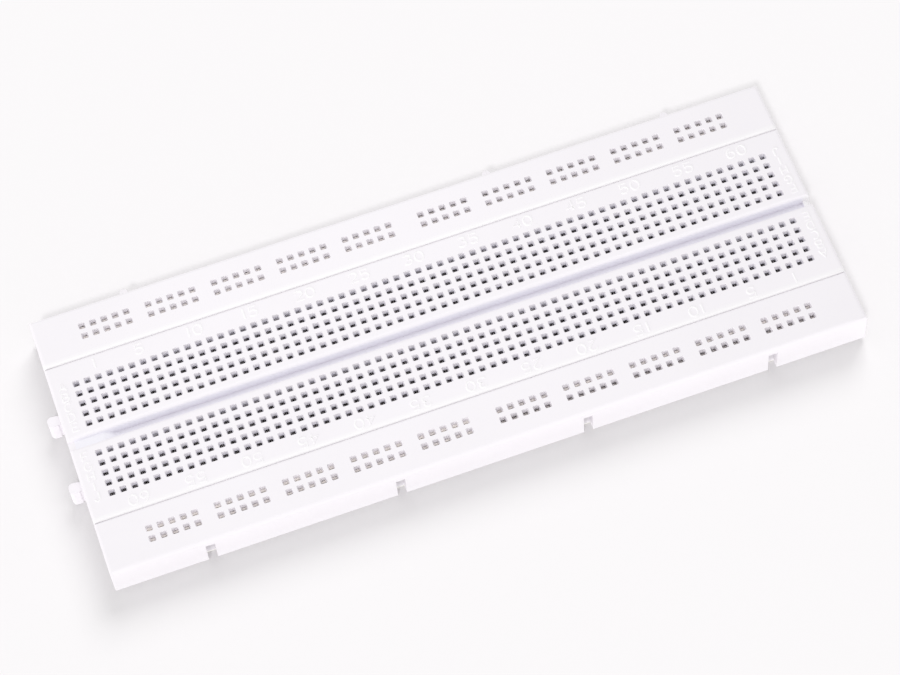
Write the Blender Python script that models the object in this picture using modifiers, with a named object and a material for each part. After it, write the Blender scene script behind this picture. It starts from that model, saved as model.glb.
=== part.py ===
"""Solderless breadboard: one terminal strip between two bus strips that hook together edge to edge.

The terminal strip has 64 columns of ten square holes (rows A-E and F-J) either side of a centre
channel. Each bus strip has two rows of fifty holes in groups of five. Under the holes lie spring
contacts, and under each strip an adhesive foam pad with its release liner.

Frame: +X along the strips, +Y across them, +Z up, origin under the centre of the hole grid on
the plane the board stands on. Units are metres. Run with: blender --background --python part.py
"""

import math

import bmesh
import bpy
from mathutils import Matrix

MM = 0.001

# Hole grid
PITCH = 2.54 * MM
COLUMNS = 64
ROWS_PER_SIDE = 5
INNER_ROW_OFFSET = 3.81 * MM  # centre line to row E, and to row F
HOLE_WIDTH = 1.3 * MM
BAR_DEPTH = 1.7 * MM  # the bars between holes taper to an edge this far down
BUS_GROUPS = 5  # groups on each half of a bus row
BUS_GROUP_HOLES = 5
BUS_GROUP_STEP = 6  # in pitches, from one group to the next
BUS_HALF_START = 1.5  # in pitches, from the middle to the first hole
BUS_ROWS = 2

# Housings
END_MARGIN = 5.79 * MM  # last column to the end face
TERMINAL_SIDE_MARGIN = 5.57 * MM  # outermost row to the long edge
BUS_WIDTH = 12.4 * MM
SEAM_GAP = 0.3 * MM
HOUSING_HEIGHT = 8.5 * MM
EDGE_ROUND = 0.9 * MM
EDGE_SEGMENTS = 3

# Centre channel
CHANNEL_WIDTH = 2.3 * MM
CHANNEL_DEPTH = 2.6 * MM
LANDING_DEPTH = 1.1 * MM  # top face to the shallow landing at the -X end of the channel
LANDING_LENGTH = 8.2 * MM
LANDING_RAMP = 2.6 * MM  # slope from the landing down to the channel's floor
RIB_DEPTH = 1.9 * MM  # top face to the low rib across the open +X end of the channel
RIB_INNER = 1.6 * MM  # end of the body to the inner side of the rib
RIB_OUTER = 0.4 * MM

# Hooks on the long edges: tabs on +Y, notches on -Y, both open to the underside
TAB_STEP = 42.6 * MM
NOTCH_PLACES = (-1.5, -0.5, 0.5, 1.5)  # in steps from the middle
TAB_PLACES = (-1.5, 0.5, 1.5)
TAB_WIDTH = 1.85 * MM
TAB_LENGTH = 2.0 * MM
TAB_DROP = 2.3 * MM  # tab top below the strip's top face
TAB_ROUND = 0.85 * MM
TAB_CLEARANCE = 0.1 * MM
TAB_TIP_CLEARANCE = 0.2 * MM
TAB_HEADROOM = 0.2 * MM

# Hooks on the ends of the terminal strip: T tabs on -X, T sockets on +X
END_TAB_OFFSET = 8.5 * MM  # each side of the centre line
END_TAB_NECK = 2.0 * MM
END_TAB_HEAD = 2.6 * MM
END_TAB_NECK_LENGTH = 0.7 * MM
END_TAB_LENGTH = 2.8 * MM
END_TAB_ROUND = 0.9 * MM
END_TAB_DROP = 3.3 * MM

# Spring contacts
CONTACT_SHEET = 0.2 * MM
CONTACT_CLEARANCE = 0.1 * MM  # contact to the wall of its slot
CONTACT_END_CLEARANCE = 0.15 * MM
CONTACT_HEADROOM = 0.3 * MM  # contact top to the tapered bars
CLIPS_PER_BANK = 8
RECESS_MARGIN = 0.3 * MM  # recess edge to the slots in it

# Adhesive base
LINER_THICKNESS = 0.12 * MM
FOAM_THICKNESS = 0.78 * MM
GLUE_GAP = 0.05 * MM
PAD_INSET = 1.0 * MM

# Derived places
BASE_Z = LINER_THICKNESS + FOAM_THICKNESS + 2 * GLUE_GAP
TOP_Z = BASE_Z + HOUSING_HEIGHT
BODY_LENGTH = (COLUMNS - 1) * PITCH + 2 * END_MARGIN
OUTER_ROW_OFFSET = INNER_ROW_OFFSET + (ROWS_PER_SIDE - 1) * PITCH
TERMINAL_WIDTH = 2 * (OUTER_ROW_OFFSET + TERMINAL_SIDE_MARGIN)
BUS_OFFSET = TERMINAL_WIDTH / 2 + SEAM_GAP + BUS_WIDTH / 2
SLOT_LENGTH = (ROWS_PER_SIDE - 1) * PITCH + HOLE_WIDTH
SIDE_OFFSET = (INNER_ROW_OFFSET + OUTER_ROW_OFFSET) / 2
RECESS_DEPTH = CONTACT_SHEET + CONTACT_CLEARANCE
CONTACT_TOP_Z = TOP_Z - BAR_DEPTH - CONTACT_HEADROOM
CONTACT_WIDTH = HOLE_WIDTH - 2 * CONTACT_CLEARANCE
NOTCH_WIDTH = TAB_WIDTH + 2 * TAB_CLEARANCE
NOTCH_LENGTH = TAB_LENGTH - SEAM_GAP + TAB_TIP_CLEARANCE
CUT = 0.5 * MM  # how far a cutter runs past the face it opens

ABS_WHITE = (0.86, 0.86, 0.88)
BRONZE = (0.66, 0.60, 0.50)
FOAM_WHITE = (0.80, 0.79, 0.75)
LINER_YELLOW = (0.78, 0.72, 0.55)

SKETCH_XY = Matrix.Identity(4)
SKETCH_XZ = Matrix.Rotation(math.radians(90), 4, "X")
SKETCH_YZ = Matrix(((0, 0, 1, 0), (1, 0, 0, 0), (0, 1, 0, 0), (0, 0, 0, 1)))


def clear_scene():
    for obj in list(bpy.data.objects):
        bpy.data.objects.remove(obj, do_unlink=True)


def new_collection(name):
    collection = bpy.data.collections.new(name)
    bpy.context.scene.collection.children.link(collection)
    return collection


def new_material(name, colour, roughness, metallic=0.0):
    material = bpy.data.materials.new(name)
    material.use_nodes = True
    shader = material.node_tree.nodes["Principled BSDF"]
    shader.inputs["Base Color"].default_value = (*colour, 1.0)
    shader.inputs["Roughness"].default_value = roughness
    shader.inputs["Metallic"].default_value = metallic
    return material


def add_object(name, mesh, collection):
    obj = bpy.data.objects.new(name, mesh)
    collection.objects.link(obj)
    return obj


def evaluated_mesh(obj, name):
    """The object's shape with its modifiers applied, as a new mesh."""
    bpy.context.view_layer.update()
    graph = bpy.context.evaluated_depsgraph_get()
    mesh = bpy.data.meshes.new_from_object(obj.evaluated_get(graph))
    mesh.name = name
    return mesh


def edit(mesh, change):
    """Run change(bm) on the mesh and write it back."""
    bm = bmesh.new()
    bm.from_mesh(mesh)
    change(bm)
    bmesh.ops.recalc_face_normals(bm, faces=bm.faces)
    bm.to_mesh(mesh)
    bm.free()


def extruded(name, outline, low, high, sketch, collection):
    """A closed outline in the sketch plane, extruded along its normal from low to high."""
    curve = bpy.data.curves.new(name, "CURVE")
    curve.dimensions = "2D"
    curve.fill_mode = "BOTH"
    curve.extrude = (high - low) / 2
    spline = curve.splines.new("POLY")
    spline.points.add(len(outline) - 1)
    for point, (u, v) in zip(spline.points, outline):
        point.co = (u, v, 0.0, 1.0)
    spline.use_cyclic_u = True
    drawn = add_object(name, curve, collection)
    mesh = evaluated_mesh(drawn, name)
    bpy.data.objects.remove(drawn)
    placed = sketch @ Matrix.Translation((0, 0, (low + high) / 2))

    def tidy(bm):
        bmesh.ops.remove_doubles(bm, verts=bm.verts, dist=1e-7)
        flat = math.radians(0.5)
        bmesh.ops.dissolve_limit(bm, angle_limit=flat, verts=bm.verts, edges=bm.edges)
        bmesh.ops.transform(bm, matrix=placed, verts=bm.verts)

    edit(mesh, tidy)
    return add_object(name, mesh, collection)


def boxes(name, spans, collection):
    """One mesh of separate boxes, each given as ((x0, x1), (y0, y1), (z0, z1))."""
    mesh = bpy.data.meshes.new(name)

    def build(bm):
        for span in spans:
            size = Matrix.Diagonal([high - low for low, high in span] + [1.0])
            centre = Matrix.Translation([(low + high) / 2 for low, high in span])
            bmesh.ops.create_cube(bm, size=1.0, matrix=centre @ size)

    edit(mesh, build)
    return add_object(name, mesh, collection)


def round_top_edges(mesh, top, radius):
    """Round every edge that lies in the plane z = top."""

    def bevel(bm):
        edges = [e for e in bm.edges if all(abs(v.co.z - top) < 1e-6 for v in e.verts)]
        bmesh.ops.bevel(
            bm,
            geom=edges,
            offset=radius,
            offset_type="OFFSET",
            segments=EDGE_SEGMENTS,
            profile=0.5,
            affect="EDGES",
            clamp_overlap=True,
        )

    edit(mesh, bevel)


def boolean(obj, other, operation):
    other.hide_render = True
    other.display_type = "WIRE"
    modifier = obj.modifiers.new(other.name, "BOOLEAN")
    modifier.object = other
    modifier.operation = operation
    modifier.solver = "EXACT"


def copies(obj, count, offset):
    """Repeat the object's mesh in separate copies along offset."""
    modifier = obj.modifiers.new("copies", "ARRAY")
    modifier.count = count
    modifier.use_relative_offset = False
    modifier.use_constant_offset = True
    modifier.constant_offset_displace = offset
    modifier.use_merge_vertices = False


def hole_row_outline(centres, bottom, top, gap):
    """Side view of a slot that opens upward through square holes at the given centres.

    Between holes one pitch apart the bar tapers to an edge. A wider bar stays square.
    """
    half = HOLE_WIDTH / 2
    taper = (gap - HOLE_WIDTH) / 2 * CUT / BAR_DEPTH
    floor = top - BAR_DEPTH
    outline = [(centres[-1] + half, bottom), (centres[-1] + half, top + CUT)]
    for right, left in zip(centres[:0:-1], centres[-2::-1]):
        if right - left < 1.01 * gap:
            middle = (left + right) / 2
            outline.append((right - half + taper, top + CUT))
            outline.append((middle, floor))
            outline.append((left + half - taper, top + CUT))
        else:
            outline.append((right - half, top + CUT))
            outline.append((right - half, floor))
            outline.append((left + half, floor))
            outline.append((left + half, top + CUT))
    outline.append((centres[0] - half, top + CUT))
    outline.append((centres[0] - half, bottom))
    return outline[::-1]


def rounded_tab(width, length, radius, root, segments=3):
    """Plan of a tab that points along +Y from y = 0 and runs back to y = -root."""
    radius = min(radius, 0.49 * width)
    outline = [(-width / 2, -root), (width / 2, -root)]
    for centre, start in ((width / 2 - radius, 0), (radius - width / 2, 90)):
        for i in range(segments + 1):
            angle = math.radians(start + 90 * i / segments)
            u = centre + radius * math.cos(angle)
            outline.append((u, length - radius + radius * math.sin(angle)))
    return outline


def end_tab(grow, root, segments=3):
    """Plan of a T tab that points along -X from x = 0, every side moved out by grow."""
    neck = END_TAB_NECK / 2 + grow
    head = END_TAB_HEAD / 2 + grow
    start = END_TAB_NECK_LENGTH - grow
    end = END_TAB_LENGTH + grow
    radius = END_TAB_ROUND
    outline = [(root, neck), (-start, neck), (-start, head)]
    for side in (1, -1):
        for i in range(segments + 1):
            step = i if side > 0 else segments - i
            angle = math.radians(90 * step / segments)
            u = -(end - radius + radius * math.sin(angle))
            outline.append((u, side * (head - radius + radius * math.cos(angle))))
    outline += [(-start, -head), (-start, -neck), (root, -neck)]
    return outline


def joined(name, pieces, collection):
    """One mesh from several separate pieces, each an (object, (x, y, z)) pair."""
    mesh = bpy.data.meshes.new(name)

    def build(bm):
        for piece, offset in pieces:
            before = set(bm.verts)
            bm.from_mesh(piece.data)
            new = [v for v in bm.verts if v not in before]
            bmesh.ops.translate(bm, verts=new, vec=offset)

    edit(mesh, build)
    for piece in {piece for piece, offset in pieces}:
        bpy.data.objects.remove(piece)
    return add_object(name, mesh, collection)


def long_edge_hooks(obj, width, cutters):
    """Tabs along the +Y edge and notches along the -Y edge of a strip centred on y = 0."""
    plan = rounded_tab(TAB_WIDTH, TAB_LENGTH, TAB_ROUND, CUT)
    tab = extruded("tab", plan, BASE_Z, TOP_Z - TAB_DROP, SKETCH_XY, cutters)
    places = [(tab, (place * TAB_STEP, width / 2, 0)) for place in TAB_PLACES]
    tabs = joined(f"{obj.name}_tabs", places, cutters)
    boolean(obj, tabs, "UNION")
    spans = []
    for place in NOTCH_PLACES:
        middle = place * TAB_STEP
        across = (-width / 2 - CUT, -width / 2 + NOTCH_LENGTH)
        height = (BASE_Z - CUT, TOP_Z - TAB_DROP + TAB_HEADROOM)
        spans.append(((middle - NOTCH_WIDTH / 2, middle + NOTCH_WIDTH / 2), across, height))
    boolean(obj, boxes(f"{obj.name}_notches", spans, cutters), "DIFFERENCE")


def terminal_housing(collection, cutters):
    half, wall = TERMINAL_WIDTH / 2, CHANNEL_WIDTH / 2
    landing = TOP_Z - LANDING_DEPTH
    section = [(-half, BASE_Z), (half, BASE_Z), (half, TOP_Z), (wall, TOP_Z)]
    section += [(wall, landing), (-wall, landing), (-wall, TOP_Z), (-half, TOP_Z)]
    ends = (-BODY_LENGTH / 2, BODY_LENGTH / 2)
    obj = extruded("terminal_strip_housing", section, *ends, SKETCH_YZ, collection)
    round_top_edges(obj.data, TOP_Z, EDGE_ROUND)

    low, end = -BODY_LENGTH / 2 + LANDING_LENGTH, BODY_LENGTH / 2 + CUT
    inner, outer = BODY_LENGTH / 2 - RIB_INNER, BODY_LENGTH / 2 - RIB_OUTER
    floor, rib = TOP_Z - CHANNEL_DEPTH, TOP_Z - RIB_DEPTH
    rise = LANDING_RAMP * CUT / (landing - floor)
    outline = [(low - rise, landing + CUT), (low + LANDING_RAMP, floor)]
    outline += [(inner, floor), (inner, rib), (outer, rib), (outer, floor)]
    outline += [(end, floor), (end, landing + CUT)]
    trough = extruded("channel_floor", outline, -wall, wall, SKETCH_XZ, cutters)
    boolean(obj, trough, "DIFFERENCE")

    reach = (COLUMNS - 1) / 2 * PITCH + HOLE_WIDTH / 2 + RECESS_MARGIN
    spans = []
    for side in (1, -1):
        edges = sorted((side * (INNER_ROW_OFFSET - HOLE_WIDTH / 2 - RECESS_MARGIN),
                        side * (OUTER_ROW_OFFSET + HOLE_WIDTH / 2 + RECESS_MARGIN)))
        spans.append(((-reach, reach), edges, (BASE_Z - CUT, BASE_Z + RECESS_DEPTH)))
    boolean(obj, boxes("clip_recesses", spans, cutters), "DIFFERENCE")

    rows = [INNER_ROW_OFFSET + i * PITCH for i in range(ROWS_PER_SIDE)]
    outline = hole_row_outline(rows, BASE_Z - CUT, TOP_Z, PITCH)
    slot = extruded("slot", outline, -HOLE_WIDTH / 2, HOLE_WIDTH / 2, SKETCH_YZ, cutters)
    first = -(COLUMNS - 1) / 2 * PITCH
    places = [(slot, (first, 0, 0)), (slot, (first, -2 * SIDE_OFFSET, 0))]
    slots = joined("terminal_slots", places, cutters)
    copies(slots, COLUMNS, (PITCH, 0, 0))
    boolean(obj, slots, "DIFFERENCE")

    long_edge_hooks(obj, TERMINAL_WIDTH, cutters)

    plan = end_tab(0.0, CUT)
    tab = extruded("end_tab", plan, BASE_Z, TOP_Z - END_TAB_DROP, SKETCH_XY, cutters)
    places = [(tab, (ends[0], side * END_TAB_OFFSET, 0)) for side in (1, -1)]
    boolean(obj, joined("end_tabs", places, cutters), "UNION")
    ceiling = TOP_Z - END_TAB_DROP + TAB_HEADROOM
    plan = end_tab(TAB_CLEARANCE, CUT)
    socket = extruded("end_socket", plan, BASE_Z - CUT, ceiling, SKETCH_XY, cutters)
    places = [(socket, (ends[1], side * END_TAB_OFFSET, 0)) for side in (1, -1)]
    boolean(obj, joined("end_sockets", places, cutters), "DIFFERENCE")
    return obj


def bus_hole_places():
    """Centres along X of the holes on the +X half of a bus row."""
    places = []
    for group in range(BUS_GROUPS):
        for i in range(BUS_GROUP_HOLES):
            places.append((BUS_HALF_START + group * BUS_GROUP_STEP + i) * PITCH)
    return places


def bus_housing_mesh(cutters):
    """A bus strip centred on x = y = 0, both of whose rows run along X."""
    spans = [((-BODY_LENGTH / 2, BODY_LENGTH / 2), (-BUS_WIDTH / 2, BUS_WIDTH / 2), (BASE_Z, TOP_Z))]
    obj = boxes("bus_strip", spans, cutters)
    round_top_edges(obj.data, TOP_Z, EDGE_ROUND)
    right = bus_hole_places()
    left = [-place for place in reversed(right)]
    pieces = []
    for centres in (left, right):
        outline = hole_row_outline(centres, BASE_Z - CUT, TOP_Z, PITCH)
        ends = (-HOLE_WIDTH / 2, HOLE_WIDTH / 2)
        slot = extruded("bus_slot", outline, *ends, SKETCH_XZ, cutters)
        for row in range(BUS_ROWS):
            pieces.append((slot, (0, (row - (BUS_ROWS - 1) / 2) * PITCH, 0)))
    boolean(obj, joined("bus_slots", pieces, cutters), "DIFFERENCE")
    long_edge_hooks(obj, BUS_WIDTH, cutters)
    mesh = evaluated_mesh(obj, "bus_housing")
    bpy.data.objects.remove(obj)
    return mesh


def clip_bank_mesh(cutters):
    """Eight five-way spring clips side by side on one thin web, centred on x = y = 0."""
    half = ((CLIPS_PER_BANK - 1) * PITCH + CONTACT_WIDTH) / 2
    reach = SLOT_LENGTH / 2 - CONTACT_END_CLEARANCE
    height = (BASE_Z, CONTACT_TOP_Z)
    obj = boxes("clip_bank", [((-half, half), (-reach, reach), height)], cutters)
    past = (-reach - CUT, reach + CUT)
    above = (BASE_Z + CONTACT_SHEET, CONTACT_TOP_Z + CUT)
    inside = CONTACT_WIDTH / 2 - CONTACT_SHEET
    spans = []
    for i in range(CLIPS_PER_BANK):
        middle = (i - (CLIPS_PER_BANK - 1) / 2) * PITCH
        spans.append(((middle - inside, middle + inside), past, above))
        if i:
            edges = (middle - PITCH + CONTACT_WIDTH / 2, middle - CONTACT_WIDTH / 2)
            spans.append((edges, past, above))
    boolean(obj, boxes("clip_gaps", spans, cutters), "DIFFERENCE")
    mesh = evaluated_mesh(obj, "clip_bank")
    bpy.data.objects.remove(obj)
    return mesh


def bus_rail_mesh(cutters):
    """A contact rail for half a bus row, centred on x = y = 0: one U of spring sheet."""
    places = bus_hole_places()
    half = (places[-1] - places[0] + HOLE_WIDTH) / 2 - CONTACT_END_CLEARANCE
    centre = (places[0] + places[-1]) / 2
    width = CONTACT_WIDTH / 2
    floor = BASE_Z + CONTACT_SHEET
    spans = [((-half, half), (-width, width), (BASE_Z, CONTACT_TOP_Z))]
    obj = boxes("bus_rail", spans, cutters)
    across = (-width + CONTACT_SHEET, width - CONTACT_SHEET)
    spans = [((-half - CUT, half + CUT), across, (floor, CONTACT_TOP_Z + CUT))]
    boolean(obj, boxes("bus_rail_inside", spans, cutters), "DIFFERENCE")
    spans = []
    for right, left in zip(places[1:], places[:-1]):
        if right - left > 1.01 * PITCH:
            gap = (left + PITCH / 2 - centre, right - PITCH / 2 - centre)
            spans.append((gap, (-width - CUT, width + CUT), (floor, CONTACT_TOP_Z + CUT)))
    boolean(obj, boxes("bus_rail_gaps", spans, cutters), "DIFFERENCE")
    mesh = evaluated_mesh(obj, "bus_rail")
    bpy.data.objects.remove(obj)
    return mesh, centre


def pad_mesh(name, width, end_inset, low, high, collection):
    """A flat pad that stays clear of the notches on -Y and of end_inset on +X."""
    notch_inset = NOTCH_LENGTH + SEAM_GAP
    along = (-BODY_LENGTH / 2 + PAD_INSET, BODY_LENGTH / 2 - end_inset)
    across = (-width / 2 + notch_inset, width / 2 - PAD_INSET)
    obj = boxes(name, [(along, across, (low, high))], collection)
    mesh = obj.data
    bpy.data.objects.remove(obj)
    return mesh


def strip_empty(name, y, parent, collection):
    empty = add_object(name, None, collection)
    empty.empty_display_size = 5 * MM
    empty.location = (0, y, 0)
    if parent:
        empty.parent = parent
    return empty


def place(name, mesh, material, parent, x, y, collection):
    obj = add_object(name, mesh, collection)
    obj.location = (x, y, 0)
    obj.parent = parent
    if not mesh.materials:
        mesh.materials.append(material)
    return obj


def main():
    clear_scene()
    parts = new_collection("solderless_breadboard")
    cutters = new_collection("cutters")
    plastic = new_material("white_abs", ABS_WHITE, 0.35)
    bronze = new_material("spring_bronze", BRONZE, 0.3, 1.0)
    foam = new_material("foam_pad", FOAM_WHITE, 0.9)
    paper = new_material("release_liner", LINER_YELLOW, 0.6)

    front = strip_empty("front_bus_strip", -BUS_OFFSET, None, parts)
    terminal = strip_empty("terminal_strip", BUS_OFFSET, front, parts)
    rear = strip_empty("rear_bus_strip", BUS_OFFSET, terminal, parts)

    housing = terminal_housing(parts, cutters)
    housing.parent = terminal
    housing.data.materials.append(plastic)
    bus_mesh = bus_housing_mesh(cutters)
    place("front_bus_housing", bus_mesh, plastic, front, 0, 0, parts)
    place("rear_bus_housing", bus_mesh, plastic, rear, 0, 0, parts)

    bank_mesh = clip_bank_mesh(cutters)
    banks = COLUMNS // CLIPS_PER_BANK
    for rows, y in (("ae", SIDE_OFFSET), ("fj", -SIDE_OFFSET)):
        for i in range(banks):
            x = (i - (banks - 1) / 2) * CLIPS_PER_BANK * PITCH
            place(f"clip_bank_{rows}_{i + 1}", bank_mesh, bronze, terminal, x, y, parts)

    rail_mesh, rail_x = bus_rail_mesh(cutters)
    for strip, parent in (("front", front), ("rear", rear)):
        for row, y in (("a", PITCH / 2), ("b", -PITCH / 2)):
            for half, x in (("left", -rail_x), ("right", rail_x)):
                name = f"{strip}_bus_rail_{row}_{half}"
                place(name, rail_mesh, bronze, parent, x, y, parts)

    foam_z = LINER_THICKNESS + GLUE_GAP
    socket_inset = END_TAB_LENGTH + TAB_CLEARANCE + SEAM_GAP
    layers = (
        ("foam_pad", foam, foam_z, foam_z + FOAM_THICKNESS),
        ("release_liner", paper, 0.0, LINER_THICKNESS),
    )
    for layer, material, low, high in layers:
        wide = pad_mesh(f"terminal_{layer}", TERMINAL_WIDTH, socket_inset, low, high, cutters)
        place(f"terminal_{layer}", wide, material, terminal, 0, 0, parts)
        narrow = pad_mesh(f"bus_{layer}", BUS_WIDTH, PAD_INSET, low, high, cutters)
        place(f"front_bus_{layer}", narrow, material, front, 0, 0, parts)
        place(f"rear_bus_{layer}", narrow, material, rear, 0, 0, parts)


main()
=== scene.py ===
"""Solderless breadboard: a terminal strip between two bus strips, on an adhesive base.

Laid out as an add-on. Every size and colour that a user would change is a property in the sidebar
panel, and every group of pieces has its own operator. The pieces are built round the packed
breadboard, which gives where each strip lies.
"""

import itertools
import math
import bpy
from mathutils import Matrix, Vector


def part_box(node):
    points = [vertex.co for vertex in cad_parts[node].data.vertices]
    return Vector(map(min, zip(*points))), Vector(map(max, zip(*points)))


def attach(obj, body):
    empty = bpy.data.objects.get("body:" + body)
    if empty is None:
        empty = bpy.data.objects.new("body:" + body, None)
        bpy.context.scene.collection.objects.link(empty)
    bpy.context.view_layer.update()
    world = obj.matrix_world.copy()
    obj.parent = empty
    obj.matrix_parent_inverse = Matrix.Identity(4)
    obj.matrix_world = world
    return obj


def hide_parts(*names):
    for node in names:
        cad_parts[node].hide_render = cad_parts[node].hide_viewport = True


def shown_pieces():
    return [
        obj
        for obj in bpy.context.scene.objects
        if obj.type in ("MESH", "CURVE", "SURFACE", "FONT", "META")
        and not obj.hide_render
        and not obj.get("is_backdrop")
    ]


bl_info = {
    "name": "Solderless Breadboard",
    "version": (1, 0, 0),
    "blender": (4, 5, 0),
    "location": "View3D > Sidebar > Breadboard",
    "description": "Detailed pieces of a solderless breadboard",
    "category": "Object",
}

import bmesh
import bpy
from bpy.props import FloatProperty, FloatVectorProperty, IntProperty, PointerProperty
from mathutils import Matrix, Quaternion, Vector

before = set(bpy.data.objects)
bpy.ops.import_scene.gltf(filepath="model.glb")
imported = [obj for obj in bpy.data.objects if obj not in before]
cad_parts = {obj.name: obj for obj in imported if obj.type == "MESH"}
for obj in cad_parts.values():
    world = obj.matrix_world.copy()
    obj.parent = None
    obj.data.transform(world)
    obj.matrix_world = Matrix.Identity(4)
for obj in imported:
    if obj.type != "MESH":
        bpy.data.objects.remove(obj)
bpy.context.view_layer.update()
FRONT_LOW, FRONT_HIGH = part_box("front_bus_housing")
REAR_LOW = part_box("rear_bus_housing")[0]
TERMINAL_LOW, TERMINAL_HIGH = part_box("terminal_strip_housing")
HALF_LENGTH = FRONT_HIGH.x
BASE_Z = TERMINAL_LOW.z
TOP_Z = TERMINAL_HIGH.z
STRIPS = ("front_bus", "terminal", "rear_bus")
# How far a cutting tool runs past the faces that it cuts
OVERSHOOT = 0.0005
# Points nearer to each other than this become one, in a mesh and in the plug of a hole
WELD = 1e-7
PLUG_WELD = 1e-6
# Faces that meet at more than this angle keep a sharp edge between them
SHARP_ANGLE = math.radians(35)
# Turns that lay a prism along X or along Y
ALONG_X = Matrix(((0, 0, 1), (1, 0, 0), (0, 1, 0))).to_4x4()
ALONG_Y = Matrix(((1, 0, 0), (0, 0, 1), (0, 1, 0))).to_4x4()


# ---------------------------------------------------------------- sizes and colours


def length_property(name, description, default):
    """A length in metres."""
    return FloatProperty(
        name=name, description=description, default=default, unit="LENGTH", precision=5
    )


def count_property(name, description, default):
    """A whole number."""
    return IntProperty(name=name, description=description, default=default, min=1)


def plain_property(name, description, default, **settings):
    """A number that is not a length."""
    settings = {"precision": 3, **settings}
    return FloatProperty(name=name, description=description, default=default, **settings)


def vector_property(name, description, default, **settings):
    """Several numbers that belong together."""
    settings = {"size": len(default), "precision": 5, **settings}
    return FloatVectorProperty(name=name, description=description, default=default, **settings)


def colour_property(name, description, default):
    """A colour, as red, green and blue."""
    settings = {"subtype": "COLOR", "min": 0.0, "max": 1.0, "precision": 3}
    return vector_property(name, description, default, **settings)


class HoleSizes(bpy.types.PropertyGroup):
    """The grid of holes and the shape of one hole."""

    pitch: length_property("Pitch", "Distance from one hole to the next", 0.00254)
    columns: count_property("Columns", "Columns of the terminal strip", 64)
    rows: count_property("Rows", "Rows on each side of the channel", 5)
    inner_row: length_property(
        "Inner row", "Centre line to the nearest row of the terminal strip", 0.00381
    )
    bus_groups: count_property("Bus groups", "Groups on each half of a bus strip", 5)
    bus_group_step: count_property("Bus group step", "Pitches from one bus group to the next", 6)
    bus_first: plain_property(
        "First bus hole", "Pitches from the middle of a bus strip to its first hole", 1.5
    )
    entry: length_property("Entry width", "Width of a hole at the top of its funnel", 0.00147)
    throat: length_property("Throat width", "Width of a hole below its funnel", 0.00104)
    funnel: length_property("Funnel depth", "Depth of the sloping entry", 0.00102)
    lip: length_property("Lip", "Size of the small flare where a hole meets the top face", 0.00005)
    corner: length_property("Corner round", "Radius of the corners of the throat", 0.00014)
    plate: length_property("Plate", "Thickness of the top plate over the contacts", 0.00122)
    slot: length_property("Slot width", "Width of the slot that holds a contact", 0.0013)


class HousingSizes(bpy.types.PropertyGroup):
    """The moulded strips, apart from their holes."""

    bus_width: length_property("Bus strip width", "Width of a bus strip without its tabs", 0.0124)
    terminal_width: length_property(
        "Terminal strip width", "Width of the terminal strip without its tabs", 0.03908
    )
    seam: length_property("Seam", "Gap that shows between two strips", 0.00002)
    edge_round: length_property("Edge round", "Radius of the rounded top edges", 0.00085)
    seam_round: length_property("Seam round", "Radius of the top edges beside the seams", 0.00065)
    edge_segments: count_property("Edge segments", "Facets of each rounded top edge", 8)
    corner_round: length_property("Corner round", "Radius of the upright corners", 0.0003)
    channel_width: length_property(
        "Channel width", "Width of the centre channel between its walls, at the top", 0.0024
    )
    channel_depth: length_property(
        "Channel depth", "Top face to the floor of the centre channel", 0.0026
    )
    draft: plain_property("Draft", "Lean of the channel walls, as width over height", 0.12)
    landing_depth: length_property(
        "Landing depth", "Top face to the landing at the -X end of the channel", 0.0011
    )
    rib_place: length_property(
        "Rib place", "Open end of the channel to the inner side of its rib", 0.0016
    )
    rib_gap: length_property(
        "Rib gap", "Open end of the channel to the outer side of its rib", 0.0004
    )
    rib_depth: length_property("Rib depth", "Top face to the top of the rib", 0.0019)
    landing_length: length_property("Landing length", "Length of the landing", 0.0082)
    landing_ramp: length_property(
        "Landing ramp", "Length of the slope from the landing down to the channel floor", 0.0026
    )


class HookSizes(bpy.types.PropertyGroup):
    """The tabs, notches and sockets that hook strips and boards together."""

    step: length_property("Hook step", "Distance between hooks along a strip", 0.0426)
    tab_width: length_property("Tab width", "Width of a tab on the long edge", 0.00185)
    tab_length: length_property("Tab length", "How far a tab stands out of the long edge", 0.002)
    tab_round: length_property("Tab round", "Radius of the outer corners of a tab", 0.00085)
    tab_drop: length_property("Tab drop", "Top face of the strip to the top of a tab", 0.0023)
    notch_width: length_property("Notch width", "Width of a notch on the long edge", 0.00205)
    notch_length: length_property("Notch length", "How far a notch runs into the long edge", 0.0019)
    headroom: length_property("Headroom", "Space above a tab in its notch or socket", 0.0002)
    end_offset: length_property(
        "End hook offset", "Centre line to each hook on the short edges", 0.0085
    )
    end_neck: length_property("End tab neck", "Width of the neck of a T tab", 0.002)
    end_head: length_property("End tab head", "Width of the head of a T tab", 0.0026)
    end_neck_length: length_property("End tab neck length", "Length of the neck of a T tab", 0.0007)
    end_length: length_property(
        "End tab length", "How far a T tab stands out of the short edge", 0.0028
    )
    end_round: length_property("End tab round", "Radius of the outer corners of a T tab", 0.0009)
    end_drop: length_property("End tab drop", "Top face of the strip to the top of a T tab", 0.0033)
    clearance: length_property("Clearance", "Gap on each side of a tab in its socket", 0.0001)
    softening: length_property(
        "Softening", "Size of the softened edge round the top of a tab", 0.00015
    )


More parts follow.
